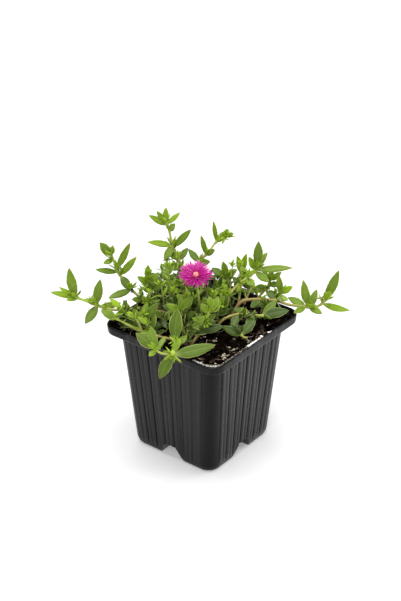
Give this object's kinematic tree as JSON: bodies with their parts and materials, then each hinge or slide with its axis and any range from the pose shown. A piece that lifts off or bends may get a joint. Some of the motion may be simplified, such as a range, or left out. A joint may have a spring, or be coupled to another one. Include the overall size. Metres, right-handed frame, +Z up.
{
  "type": "potted ice plant",
  "caption": "Trailing succulent ice plant with fleshy paired leaves and a fine-petalled bloom, growing in a square ribbed nursery pot that stands on hollow corner feet.",
  "frame": {"origin": "on the floor under the middle of the pot, which is the middle of the part's base to within a millimetre", "axes": "+Z up; X and Y square to the pot's sides; the picture looks from the pot's corner between +X and -Y"},
  "size_m": [0.14, 0.1246, 0.146],
  "materials": {
    "black_plastic": "satin black moulded plastic",
    "potting_mix": "moist dark peat with bark and perlite",
    "leaf_tissue": "fleshy, slightly glossy green",
    "stalk_tissue": "fleshy yellow-green",
    "petal_tissue": "thin magenta petals with a silky sheen",
    "stamens": "pale pink, matte"
  },
  "bodies": {
    "root": {"pot": "black_plastic", "soil": "potting_mix", "flower_stalk": "stalk_tissue", "flower_petals": "petal_tissue", "flower_centre": "stamens", "shoot_back_slim": "leaf_tissue", "shoot_back_tall": "leaf_tissue", "shoot_behind_left": "leaf_tissue", "shoot_bright_middle": "leaf_tissue", "shoot_broad_middle": "leaf_tissue", "shoot_centre_front": "leaf_tissue", "shoot_centre_right": "leaf_tissue", "shoot_front_hanging": "leaf_tissue", "shoot_front_left": "leaf_tissue", "shoot_front_middle": "leaf_tissue", "shoot_left_broad": "leaf_tissue", "shoot_left_long": "leaf_tissue", "shoot_left_rim": "leaf_tissue", "shoot_left_upper": "leaf_tissue", "shoot_left_upright": "leaf_tissue", "shoot_low_left": "leaf_tissue", "shoot_middle_01": "leaf_tissue", "shoot_middle_03": "leaf_tissue", "shoot_middle_08": "leaf_tissue", "shoot_middle_10": "leaf_tissue", "shoot_middle_11": "leaf_tissue", "shoot_middle_12": "leaf_tissue", "shoot_middle_14": "leaf_tissue", "shoot_middle_17": "leaf_tissue", "shoot_middle_22": "leaf_tissue", "shoot_over_back_left": "leaf_tissue", "shoot_over_back_right": "leaf_tissue", "shoot_over_far_right": "leaf_tissue", "shoot_right_back": "leaf_tissue", "shoot_right_edge": "leaf_tissue", "shoot_right_long": "leaf_tissue", "shoot_right_low": "leaf_tissue", "shoot_right_rim": "leaf_tissue", "shoot_right_tuft": "leaf_tissue", "shoot_right_upper": "leaf_tissue", "shoot_upright_a": "leaf_tissue", "shoot_upright_b": "leaf_tissue"}
  },
  "joints": []
}
